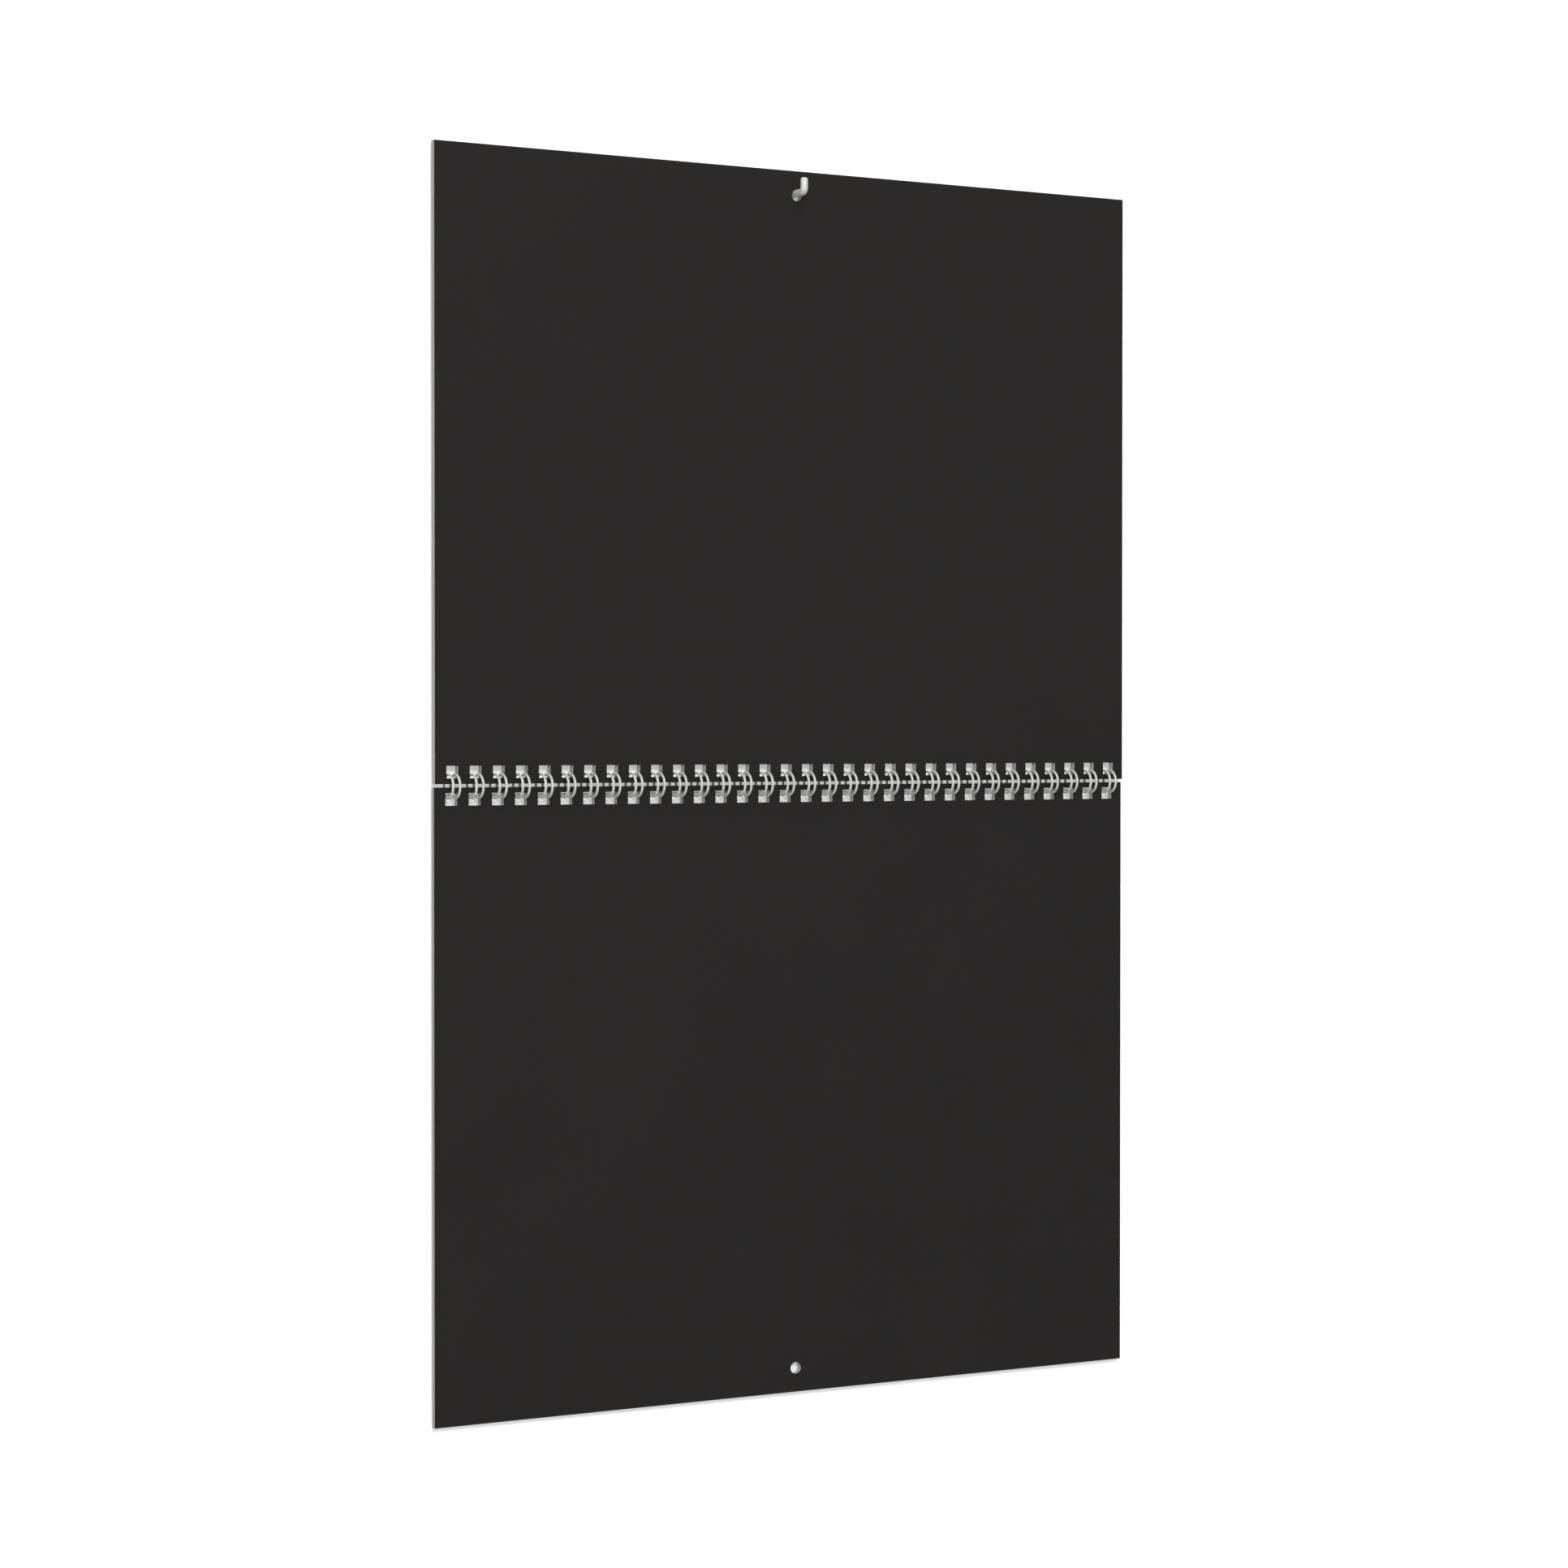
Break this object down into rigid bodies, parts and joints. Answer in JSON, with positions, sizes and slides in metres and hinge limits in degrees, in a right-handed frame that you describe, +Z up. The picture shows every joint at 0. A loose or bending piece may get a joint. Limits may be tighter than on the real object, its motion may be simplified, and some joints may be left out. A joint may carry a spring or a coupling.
{
  "type": "wall calendar",
  "caption": "Open landscape wall calendar: blank black leaf blocks above and below a twin-loop wire binding, hung by a round hole on an L-shaped screw hook.",
  "frame": {"origin": "where the axis of the hook's shank comes out of the wall", "axes": "+Z up, +Y into the wall along the hook's shank, -Y towards the reader, +X to the reader's right"},
  "size_m": [0.2794, 0.0272, 0.433],
  "materials": {
    "leaf_paper": "matte",
    "cover_paper": "matte",
    "binding_wire": "satin",
    "hook_steel": "polished"
  },
  "bodies": {
    "hung_block": {"wall_hook": "hook_steel", "front_cover": "cover_paper", "turned_leaves": "leaf_paper"},
    "lower_block": {"remaining_leaves": "leaf_paper", "back_cover": "cover_paper"},
    "binding": {"binding_wire": "binding_wire"}
  },
  "joints": [
    {"name": "lower_block_turn", "type": "hinge", "parent": "hung_block", "child": "lower_block", "pos_m": [0, -0.00484, -0.20885], "axis": [-1, 0, 0], "range_deg": [0, 175]},
    {"name": "wire_turn", "type": "hinge", "parent": "hung_block", "child": "binding", "pos_m": [0, -0.00484, -0.20885], "axis": [1, 0, 0], "range_deg": [0, 70]}
  ]
}
